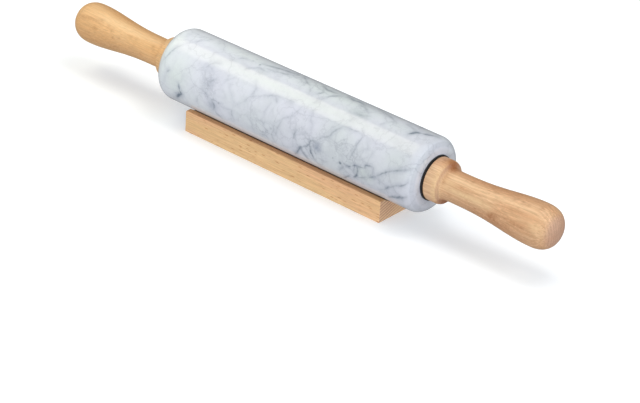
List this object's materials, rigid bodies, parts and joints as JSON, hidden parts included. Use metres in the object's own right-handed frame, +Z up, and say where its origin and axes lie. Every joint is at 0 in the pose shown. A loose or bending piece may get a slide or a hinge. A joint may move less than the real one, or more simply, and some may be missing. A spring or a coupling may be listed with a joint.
{
  "type": "rolling pin",
  "caption": "Marble rolling pin with turned beech handles on a steel axle; the barrel turns in plastic bushes and rests in a low grooved beech cradle.",
  "frame": {"origin": "on the table under the middle of the cradle, which is also under the middle of the pin", "axes": "+X along the pin's axis towards the right handle, +Y across the cradle, +Z up"},
  "size_m": [0.4838, 0.06, 0.0723],
  "materials": {
    "cradle_wood": "bare, finely sanded beech",
    "handle_wood": "oiled satin beech",
    "marble": "polished white marble with grey veins",
    "bush_plastic": "black moulded nylon",
    "steel": "drawn and turned",
    "brass": "turned"
  },
  "bodies": {
    "cradle": {"cradle": "cradle_wood"},
    "roller": {"barrel": "marble", "bush_left": "bush_plastic", "bush_right": "bush_plastic"},
    "handles": {"axle": "steel", "washer_left": "steel", "washer_right": "steel", "insert_left": "brass", "insert_right": "brass", "handle_left": "handle_wood", "handle_right": "handle_wood"}
  },
  "joints": [
    {"name": "pin_lift", "type": "slide", "parent": "cradle", "child": "roller", "axis": [0, 0, 1], "range_m": [0, 0.1]},
    {"name": "handle_spin", "type": "hinge", "parent": "roller", "child": "handles", "pos_m": [0, 0, 0.0423], "axis": [1, 0, 0], "continuous": true}
  ]
}
